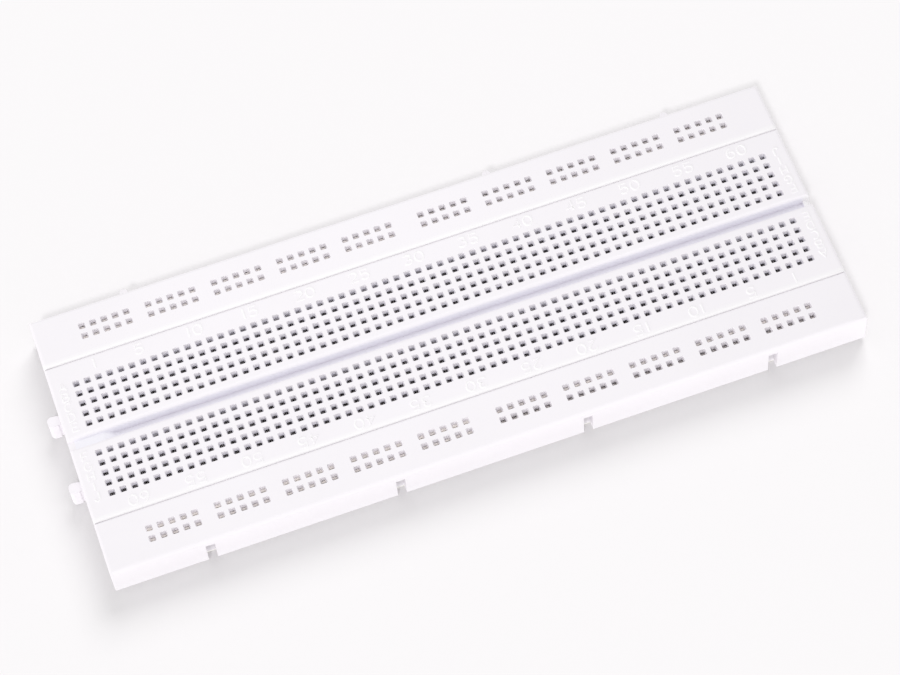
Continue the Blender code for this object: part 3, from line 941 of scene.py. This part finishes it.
def plain_floor(colour):
    """Matt floor that can be seen through from below, and that lets light in under the board."""
    sketch = FinishSketch("plain_floor")
    sketch.close(Base_Color=(*colour, 1.0), Roughness=1.0, Specular_IOR_Level=0.0)
    below = sketch.add("ShaderNodeNewGeometry").outputs["Backfacing"]
    near = sketch.below(sketch.add("ShaderNodeLightPath").outputs["Ray Length"], UNDER_BOARD)
    mix = sketch.add("ShaderNodeMixShader")
    sketch.put(mix.inputs[0], sketch.math("MAXIMUM", below, near))
    sketch.put(mix.inputs[1], sketch.shader.outputs[0])
    sketch.put(mix.inputs[2], sketch.add("ShaderNodeBsdfTransparent").outputs[0])
    sketch.put(sketch.tree.nodes["Material Output"].inputs["Surface"], mix.outputs[0])
    return sketch.material


def finish_of(name):
    """The material of this name, made once."""
    finishes = bpy.context.scene.breadboard.finishes
    makers = {
        "moulded_abs": (moulded_plastic, finishes.plastic),
        "spring_metal": (spring_metal, finishes.contact),
        "cell_foam": (cell_foam, finishes.foam),
        "waxed_paper": (waxed_paper, finishes.liner),
        "plain_floor": (plain_floor, finishes.floor),
    }
    make, colour = makers[name]
    return bpy.data.materials.get(name) or make(tuple(colour))


# ---------------------------------------------------------------- housings


# Places of the tabs and notches along a strip, in hook steps from its middle
TAB_STEPS = (-1.5, 0.5, 1.5)
NOTCH_STEPS = (-1.5, -0.5, 0.5, 1.5)


def centred(number, pitch):
    """Places of a row of holes about its middle."""
    return [(i - (number - 1) / 2) * pitch for i in range(number)]


def terminal_rows(holes):
    """Distances from the centre line to the rows on one side of the channel."""
    return [holes.inner_row + i * holes.pitch for i in range(holes.rows)]


def bus_columns(holes):
    """Where the holes of half a bus row stand along X."""
    firsts = [holes.bus_first + group * holes.bus_group_step for group in range(holes.bus_groups)]
    return [(first + i) * holes.pitch for first in firsts for i in range(holes.rows)]


def side_hooks(bm, hooks, edge):
    """Tabs on the +Y edge of a strip."""
    for place in TAB_STEPS:
        plan = tab_plan(hooks, place * hooks.step, edge)
        add_prism(bm, plan, BASE_Z, TOP_Z - hooks.tab_drop, soften=hooks.softening)


def side_notches(bm, hooks, edge):
    """Notches in the -Y edge of a strip."""
    half = hooks.notch_width / 2
    across = (edge - OVERSHOOT, edge + hooks.notch_length)
    levels = (BASE_Z - OVERSHOOT, TOP_Z - hooks.tab_drop + hooks.headroom)
    for place in NOTCH_STEPS:
        middle = place * hooks.step
        plan = rounded_outline(rectangle((middle - half, middle + half), across))
        add_prism(bm, plan, *levels)


def moulded_strip(name, node, views, add_hooks, add_openings, hole_places, slot_places, slot):
    """A housing made from the views of its plain body, in place of its CAD node."""
    holes = bpy.context.scene.breadboard.holes
    section, ends, plan = views
    tools = {
        "Ends": new_mesh("strip_ends", ends),
        "Plan": new_mesh("strip_plan", plan),
        "Hooks": new_mesh("strip_hooks", add_hooks),
        "Openings": new_mesh("strip_openings", add_openings),
        "Hole Places": plain_mesh("hole_places", hole_places),
        "Slot Places": plain_mesh("slot_places", slot_places),
    }
    tools = {label: add_piece(mesh.name, mesh) for label, mesh in tools.items()}
    values = {
        **tools,
        "Entry Width": holes.entry,
        "Throat Width": holes.throat,
        "Funnel Depth": holes.funnel,
        "Lip": holes.lip,
        "Corner Round": holes.corner,
        "Plate": holes.plate,
        "Slot Along": slot[0],
        "Slot Across": slot[1],
        "Base": BASE_Z,
        "Top": TOP_Z,
        "Finish": finish_of("moulded_abs"),
    }
    tree = bpy.data.node_groups.get("moulded_strip") or moulded_strip_tree()
    piece = add_piece(name, new_mesh(name, section))
    piece = grow(piece, tree, values, weighted=True)
    discard(*tools.values())
    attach(piece, node[0])
    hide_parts(node[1])


def mating_fill(housing):
    """How far a strip is widened where it meets its neighbour, so that the seam stays narrow."""
    return (REAR_LOW.y - housing.terminal_width / 2 - housing.seam) / 2


class BREADBOARD_OT_terminal_housing(bpy.types.Operator):
    """Make the terminal strip housing, with its channel, hooks and holes"""

    bl_idname = "breadboard.terminal_housing"
    bl_label = "Terminal housing"

    def execute(self, context):
        board = context.scene.breadboard
        holes, housing, hooks = board.holes, board.housing, board.hooks
        edge = housing.terminal_width / 2
        side_fill = mating_fill(housing)
        views = strip_views(board, -edge - side_fill, edge + side_fill, channel=True)

        def add_hooks(bm):
            side_hooks(bm, hooks, edge)
            for side in (1, -1):
                plan = end_tab_plan(hooks, -HALF_LENGTH, side * hooks.end_offset)
                add_prism(bm, plan, BASE_Z, TOP_Z - hooks.end_drop, soften=hooks.softening)

        def add_openings(bm):
            side_notches(bm, hooks, -edge)
            ceiling = TOP_Z - hooks.end_drop + hooks.headroom
            for side in (1, -1):
                middle = side * hooks.end_offset
                plan = end_tab_plan(hooks, HALF_LENGTH, middle, hooks.clearance)
                add_prism(bm, plan, BASE_Z - OVERSHOOT, ceiling)
            add_trough(bm, housing)

        columns, rows = centred(holes.columns, holes.pitch), terminal_rows(holes)
        hole_places = [(x, side * y, 0.0) for x in columns for y in rows for side in (1, -1)]
        middle = (rows[0] + rows[-1]) / 2
        slot_places = [(x, side * middle, 0.0) for x in columns for side in (1, -1)]
        moulded_strip(
            "terminal_strip_moulding",
            ("terminal_strip", "terminal_strip_housing"),
            views,
            add_hooks,
            add_openings,
            hole_places,
            slot_places,
            (holes.slot, rows[-1] - rows[0] + holes.slot),
        )
        return {"FINISHED"}


class BREADBOARD_OT_bus_housings(bpy.types.Operator):
    """Make the two bus strip housings, with their hooks and holes"""

    bl_idname = "breadboard.bus_housings"
    bl_label = "Bus housings"

    def execute(self, context):
        board = context.scene.breadboard
        holes, housing, hooks = board.holes, board.housing, board.hooks
        width = housing.bus_width
        half = bus_columns(holes)
        for strip, low in (("front", FRONT_LOW), ("rear", REAR_LOW)):
            edges = (low.y, low.y + width)
            fills = (mating_fill(housing), 0.0) if strip == "rear" else (0.0, mating_fill(housing))
            middle = low.y + width / 2
            rows = [middle + side * holes.pitch / 2 for side in (1, -1)]
            centre = (half[0] + half[-1]) / 2
            moulded_strip(
                f"{strip}_bus_moulding",
                (f"{strip}_bus_strip", f"{strip}_bus_housing"),
                strip_views(board, edges[0] - fills[0], edges[1] + fills[1]),
                lambda bm: side_hooks(bm, hooks, edges[1]),
                lambda bm: side_notches(bm, hooks, edges[0]),
                [(side * x, y, 0.0) for x in half for y in rows for side in (1, -1)],
                [(side * centre, y, 0.0) for y in rows for side in (1, -1)],
                (half[-1] - half[0] + holes.slot, holes.slot),
            )
        return {"FINISHED"}


# ---------------------------------------------------------------- raised marks


def arc(x, y, across, up, start, end, steps=10):
    """Points on an ellipse about (x, y), from start to end in degrees."""
    points = []
    for i in range(steps + 1):
        angle = math.radians(start + (end - start) * i / steps)
        points.append((x + across * math.cos(angle), y + up * math.sin(angle)))
    return points


def closed(points):
    return points[:-1] + [points[0]]


# Width of a character, of the gap after it and of a narrow character, for a height of 1
CHARACTER_WIDTH, CHARACTER_GAP, NARROW_WIDTH = 0.86, 0.22, 0.45
# Strokes of each figure and letter in a box from (0, 0) to (1, 1)
GLYPHS = {
    "0": [closed(arc(0.5, 0.5, 0.46, 0.5, 0, 360, 20))],
    "1": [[(0.5, 0.0), (0.5, 1.0)]],
    "2": [arc(0.5, 0.72, 0.4, 0.28, 165, -35, 12) + [(0.06, 0.0), (0.94, 0.0)]],
    "3": [arc(0.46, 0.76, 0.36, 0.24, 150, -90) + arc(0.46, 0.27, 0.44, 0.27, 90, -150)[1:]],
    "4": [[(0.72, 0.0), (0.72, 1.0), (0.04, 0.3), (0.96, 0.3)]],
    "5": [[(0.88, 1.0), (0.18, 1.0), (0.12, 0.54)] + arc(0.48, 0.32, 0.44, 0.32, 125, -150, 12)],
    "6": [closed(arc(0.5, 0.32, 0.42, 0.32, 0, 360, 16)), arc(0.66, 0.32, 0.58, 0.68, 180, 95, 8)],
    "A": [[(0.02, 0.0), (0.5, 1.0), (0.98, 0.0)], [(0.2, 0.36), (0.8, 0.36)]],
    "B": [
        [(0.1, 0.0), (0.1, 1.0)] + arc(0.55, 0.76, 0.3, 0.24, 90, -90, 8) + [(0.1, 0.52)],
        [(0.1, 0.0)] + arc(0.58, 0.26, 0.36, 0.26, -90, 90, 8),
    ],
    "C": [arc(0.52, 0.5, 0.46, 0.5, 48, 312, 14)],
    "D": [[(0.1, 0.0), (0.1, 1.0)] + arc(0.4, 0.5, 0.52, 0.5, 90, -90, 12) + [(0.1, 0.0)]],
    "E": [[(0.9, 1.0), (0.12, 1.0), (0.12, 0.0), (0.9, 0.0)], [(0.12, 0.52), (0.78, 0.52)]],
    "F": [[(0.9, 1.0), (0.12, 1.0), (0.12, 0.0)], [(0.12, 0.52), (0.78, 0.52)]],
    "G": [arc(0.52, 0.5, 0.46, 0.5, 48, 330, 14) + [(0.94, 0.46), (0.6, 0.46)]],
    "H": [[(0.1, 0.0), (0.1, 1.0)], [(0.9, 0.0), (0.9, 1.0)], [(0.1, 0.52), (0.9, 0.52)]],
    "I": [[(0.5, 0.0), (0.5, 1.0)]],
    "J": [[(0.72, 1.0), (0.72, 0.3)] + arc(0.42, 0.3, 0.3, 0.3, 0, -170, 8)[1:]],
}


def write_word(strokes, word, place, height, sign):
    """Add the strokes of a word centred on a place, upside down where the sign is -1."""
    width, gap = CHARACTER_WIDTH * height, CHARACTER_GAP * height
    advances = [NARROW_WIDTH * height if character in "1I" else width for character in word]
    pen = -(sum(advances) + gap * (len(word) - 1)) / 2
    for character, advance in zip(word, advances):
        for line in GLYPHS[character]:
            points = []
            for u, v in line:
                across = pen + advance / 2 + (u - 0.5) * width
                up = (v - 0.5) * height
                points.append((place[0] + sign * across, place[1] + sign * up))
            strokes.append(points)
        pen += advance + gap


class BREADBOARD_OT_raised_marks(bpy.types.Operator):
    """Make the raised column numbers and row letters of the terminal strip"""

    bl_idname = "breadboard.raised_marks"
    bl_label = "Raised marks"

    def execute(self, context):
        board = context.scene.breadboard
        holes, marks = board.holes, board.marks
        columns, rows = centred(holes.columns, holes.pitch), terminal_rows(holes)
        strokes = []
        for sign in (1, -1):
            # Two columns at each end lie outside the numbers
            for number in [1, *range(5, holes.columns - 3, 5)]:
                place = (sign * columns[number + 1], sign * marks.number_row)
                write_word(strokes, str(number), place, marks.figure_height, sign)
            for letter, row in zip("ABCDEFGHIJ", [*reversed(rows), *(-y for y in rows)]):
                place = (-sign * marks.letter_column, sign * row)
                write_word(strokes, letter, place, marks.letter_height, sign)
        points, edges = [], []
        for i, line in enumerate(strokes):
            first = len(points)
            ring = line[0] == line[-1]
            # Strokes that cross lie at levels a little apart, so that their faces never coincide
            level = TOP_Z - marks.relief * (i % 3) / 16
            points += [(x, y, level) for x, y in (line[:-1] if ring else line)]
            last = len(points) - 1
            edges += [(i, i + 1) for i in range(first, last)]
            if ring:
                edges.append((last, first))
        mesh = plain_mesh("mark_strokes", points, edges)
        values = {
            "Stroke Width": marks.stroke,
            "Relief": marks.relief,
            "Finish": finish_of("moulded_abs"),
        }
        piece = grow(add_piece("terminal_raised_marks", mesh), raised_strokes_tree(), values)
        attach(piece, "terminal_strip")
        return {"FINISHED"}


# ---------------------------------------------------------------- contacts


# How far a contact runs on past its outer holes
CONTACT_END = 0.0005


def contact_mesh(name, contacts, groups, drop, flare, length):
    """A sheet contact along Y: a folded base with a pair of fingers below every hole.

    groups holds the hole places of each group. Between groups the walls are cut down to the base.
    """
    sheet = contacts.sheet
    side = contacts.width / 2 - sheet / 2
    base = BASE_Z + sheet
    shoulder = base + contacts.wall
    tip = TOP_Z - drop
    pinch = (contacts.pinch / 2 + sheet / 2, tip - length)
    flare = (flare / 2 - sheet / 2, tip)
    half = contacts.finger / 2

    def build(bm):
        rims = {1: [], -1: []}
        for places in groups:
            for turn in (1, -1):
                ends = (places[0] - CONTACT_END, places[-1] + CONTACT_END)
                foot = [bm.verts.new((turn * side, y, base)) for y in ends]
                rims[turn] += foot
                crest = [bm.verts.new((turn * side, ends[0], shoulder))]
                for place in places:
                    sides = (place - half, place + half)
                    pair = [bm.verts.new((turn * side, y, shoulder)) for y in sides]
                    crest += pair
                    for across, up in (pinch, flare):
                        upper = [bm.verts.new((turn * across, y, up)) for y in sides]
                        bm.faces.new((*pair, *reversed(upper)))
                        pair = upper
                crest.append(bm.verts.new((turn * side, ends[1], shoulder)))
                bm.faces.new((*foot, *reversed(crest)))
        bm.faces.new((*rims[1], *reversed(rims[-1])))

    mesh = new_mesh(name, build)
    mesh.materials.append(finish_of("spring_metal"))
    obj = add_piece(name, mesh)
    thick = obj.modifiers.new("sheet", "SOLIDIFY")
    thick.thickness = sheet
    thick.offset = 0.0
    thick.use_even_offset = True
    return obj


def repeated_contact(name, body, nodes, contact, places):
    """The contact at every place, as one piece in place of its CAD nodes."""
    tree = bpy.data.node_groups.get("repeated_contact") or repeated_contact_tree()
    values = {"Contact": contact, "Finish": finish_of("spring_metal")}
    piece = grow(add_piece(name, plain_mesh(name, places)), tree, values)
    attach(piece, body)
    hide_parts(*nodes)


class BREADBOARD_OT_terminal_clips(bpy.types.Operator):
    """Make the five-way spring clips of the terminal strip"""

    bl_idname = "breadboard.terminal_clips"
    bl_label = "Terminal clips"

    def execute(self, context):
        board = context.scene.breadboard
        holes, contacts = board.holes, board.contacts
        groups = [centred(holes.rows, holes.pitch)]
        spread = (contacts.clip_drop, contacts.flare, contacts.tip)
        clip = contact_mesh("five_way_clip", contacts, groups, *spread)
        middle = holes.inner_row + (holes.rows - 1) / 2 * holes.pitch
        for rows, y in (("ae", middle), ("fj", -middle)):
            repeated_contact(
                f"terminal_clips_{rows}",
                "terminal_strip",
                sorted(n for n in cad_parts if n.startswith(f"clip_bank_{rows}_")),
                clip,
                [(x, y, 0.0) for x in centred(holes.columns, holes.pitch)],
            )
        discard(clip)
        return {"FINISHED"}


class BREADBOARD_OT_bus_rails(bpy.types.Operator):
    """Make the contact rails of the bus strips"""

    bl_idname = "breadboard.bus_rails"
    bl_label = "Bus rails"

    def execute(self, context):
        board = context.scene.breadboard
        holes, contacts = board.holes, board.contacts
        columns = bus_columns(holes)
        centre = (columns[0] + columns[-1]) / 2
        shifted = [x - centre for x in columns]
        groups = [shifted[i : i + holes.rows] for i in range(0, len(shifted), holes.rows)]
        rails = list(itertools.product((("a", 1), ("b", -1)), (("left", -1), ("right", 1))))
        for strip, low, drops in (
            ("front", FRONT_LOW, contacts.front_rail_drops),
            ("rear", REAR_LOW, contacts.rear_rail_drops),
        ):
            middle = low.y + board.housing.bus_width / 2
            for ((row, side), (half, turn)), drop in zip(rails, drops):
                spread = (drop, contacts.rail_flare, contacts.rail_tip)
                rail = contact_mesh("bus_rail", contacts, groups, *spread)
                rail.data.transform(Matrix.Rotation(math.radians(-90), 4, "Z"))
                repeated_contact(
                    f"{strip}_rail_{row}_{half}",
                    f"{strip}_bus_strip",
                    [f"{strip}_bus_rail_{row}_{half}"],
                    rail,
                    [(turn * centre, middle + side * holes.pitch / 2, 0.0)],
                )
                discard(rail)
        return {"FINISHED"}


# ---------------------------------------------------------------- adhesive base


def strip_layers(kind, solid, soften, finish):
    """A flat layer with round corners under each strip, in the place of its CAD node."""
    corner = bpy.context.scene.breadboard.pads.corner
    for strip in STRIPS:
        node = f"{strip}_{solid}"
        low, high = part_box(node)
        plan = rectangle((low.x, high.x), (low.y, high.y), corner)
        plan = rounded_outline(plan, segments=4)
        name = f"{strip}_{kind}"
        mesh = new_mesh(name, lambda bm: add_prism(bm, plan, low.z, high.z, soften=soften))
        mesh.materials.append(finish_of(finish))
        piece = add_piece(name, mesh)
        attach(piece, f"{strip}_strip")
        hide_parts(node)
        yield piece


class BREADBOARD_OT_foam_pads(bpy.types.Operator):
    """Make the adhesive foam pads under the strips"""

    bl_idname = "breadboard.foam_pads"
    bl_label = "Foam pads"

    def execute(self, context):
        pads = context.scene.breadboard.pads
        for piece in strip_layers("foam", "foam_pad", pads.softening, "cell_foam"):
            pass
        return {"FINISHED"}


class BREADBOARD_OT_release_liners(bpy.types.Operator):
    """Make the release liners under the foam pads"""

    bl_idname = "breadboard.release_liners"
    bl_label = "Release liners"

    def execute(self, context):
        pads = context.scene.breadboard.pads
        for piece in strip_layers("liner", "release_liner", pads.slit, "waxed_paper"):
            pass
        return {"FINISHED"}


# ---------------------------------------------------------------- stage


def add_lamp(name, kind, strength, direction, lit):
    """A lamp that points at the board and lights only the objects of one collection."""
    lamp = bpy.data.lights.new(name, kind)
    lamp.energy = strength
    obj = add_piece(name, lamp)
    obj.rotation_euler = Vector(direction).to_track_quat("Z", "Y").to_euler()
    obj.light_linking.receiver_collection = lit
    return obj


def add_dome(stage, backdrop):
    """Even light from all round, and a backdrop that is seen directly and in gloss."""
    world = bpy.context.scene.world
    world.use_nodes = True
    sketch = NodeSketch(world.node_tree)
    path = sketch.add("ShaderNodeLightPath").outputs
    seen = sketch.math("MAXIMUM", path["Is Camera Ray"], path["Is Glossy Ray"])
    seen = sketch.math("MAXIMUM", seen, path["Is Transmission Ray"])
    background = sketch.tree.nodes["Background"]
    sketch.put(background.inputs["Color"], sketch.mixed(seen, (1.0, 1.0, 1.0), backdrop))
    sketch.put(background.inputs["Strength"], sketch.run(seen, 0.0, 1.0, stage.dome, 1.0))


class BREADBOARD_OT_stage(bpy.types.Operator):
    """Make the floor, the light and the camera"""

    bl_idname = "breadboard.stage"
    bl_label = "Stage"

    def execute(self, context):
        scene = context.scene
        stage, finishes = scene.breadboard.stage, scene.breadboard.finishes
        half = stage.floor_size / 2
        corners = [(-half, -half, 0.0), (half, -half, 0.0), (half, half, 0.0), (-half, half, 0.0)]
        mesh = plain_mesh("floor", corners, faces=[(0, 1, 2, 3)])
        mesh.materials.append(finish_of("plain_floor"))
        floor = add_piece("floor", mesh)
        floor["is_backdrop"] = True
        scene.world = scene.world or bpy.data.worlds.new("dome")
        add_dome(stage, finishes.backdrop)

        board = bpy.data.collections.new("board_pieces")
        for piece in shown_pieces():
            board.objects.link(piece)
        ground = bpy.data.collections.new("ground")
        ground.objects.link(floor)
        for name, lit, angle in (
            ("front", board, stage.soft_angle),
            ("shadow", ground, stage.soft_angle),
            ("outline", ground, stage.outline_angle),
        ):
            strength = getattr(stage, f"{name}_light")
            direction = getattr(stage, f"{name}_direction")
            sun = add_lamp(f"{name}_light", "SUN", strength, direction, lit)
            sun.data.angle = angle
        place = stage.overhead_place
        overhead = add_lamp("overhead_light", "AREA", stage.overhead_light, place, board)
        overhead.data.size = stage.overhead_size
        overhead.location = place
        overhead.visible_camera = False

        camera = bpy.data.cameras.new("camera")
        camera.lens = stage.lens
        camera.clip_start = 0.01
        camera.clip_end = 20.0
        seat = add_piece("camera", camera)
        seat.location = stage.camera_place
        seat.rotation_mode = "QUATERNION"
        seat.rotation_quaternion = Quaternion(stage.camera_turn).normalized()
        scene.camera = seat
        scene.view_settings.view_transform = "Standard"
        return {"FINISHED"}


# ---------------------------------------------------------------- panel


class BREADBOARD_PT_panel(bpy.types.Panel):
    """Sizes, colours and the operators that make the pieces"""

    bl_idname = "BREADBOARD_PT_panel"
    bl_label = "Breadboard"
    bl_space_type = "VIEW_3D"
    bl_region_type = "UI"
    bl_category = "Breadboard"

    def draw(self, context):
        column = self.layout.column(align=True)
        for operator in OPERATORS:
            column.operator(operator.bl_idname)
        board = context.scene.breadboard
        for group in BreadboardSettings.__annotations__:
            box = self.layout.box()
            box.label(text=group.capitalize())
            settings = getattr(board, group)
            for name in settings.__annotations__:
                box.prop(settings, name)


GROUPS = (
    HoleSizes,
    HousingSizes,
    HookSizes,
    ContactSizes,
    PadSizes,
    MarkSizes,
    Finishes,
    StageSettings,
    BreadboardSettings,
)
OPERATORS = (
    BREADBOARD_OT_terminal_housing,
    BREADBOARD_OT_bus_housings,
    BREADBOARD_OT_raised_marks,
    BREADBOARD_OT_terminal_clips,
    BREADBOARD_OT_bus_rails,
    BREADBOARD_OT_foam_pads,
    BREADBOARD_OT_release_liners,
    BREADBOARD_OT_stage,
)


def register():
    for cls in (*GROUPS, *OPERATORS, BREADBOARD_PT_panel):
        bpy.utils.register_class(cls)
    bpy.types.Scene.breadboard = PointerProperty(type=BreadboardSettings)


def unregister():
    del bpy.types.Scene.breadboard
    for cls in reversed((*GROUPS, *OPERATORS, BREADBOARD_PT_panel)):
        bpy.utils.unregister_class(cls)


def main():
    register()
    bpy.ops.breadboard.terminal_housing()
    bpy.ops.breadboard.bus_housings()
    bpy.ops.breadboard.raised_marks()
    bpy.ops.breadboard.terminal_clips()
    bpy.ops.breadboard.bus_rails()
    bpy.ops.breadboard.foam_pads()
    bpy.ops.breadboard.release_liners()
    bpy.ops.breadboard.stage()


if __name__ == "__main__":
    main()
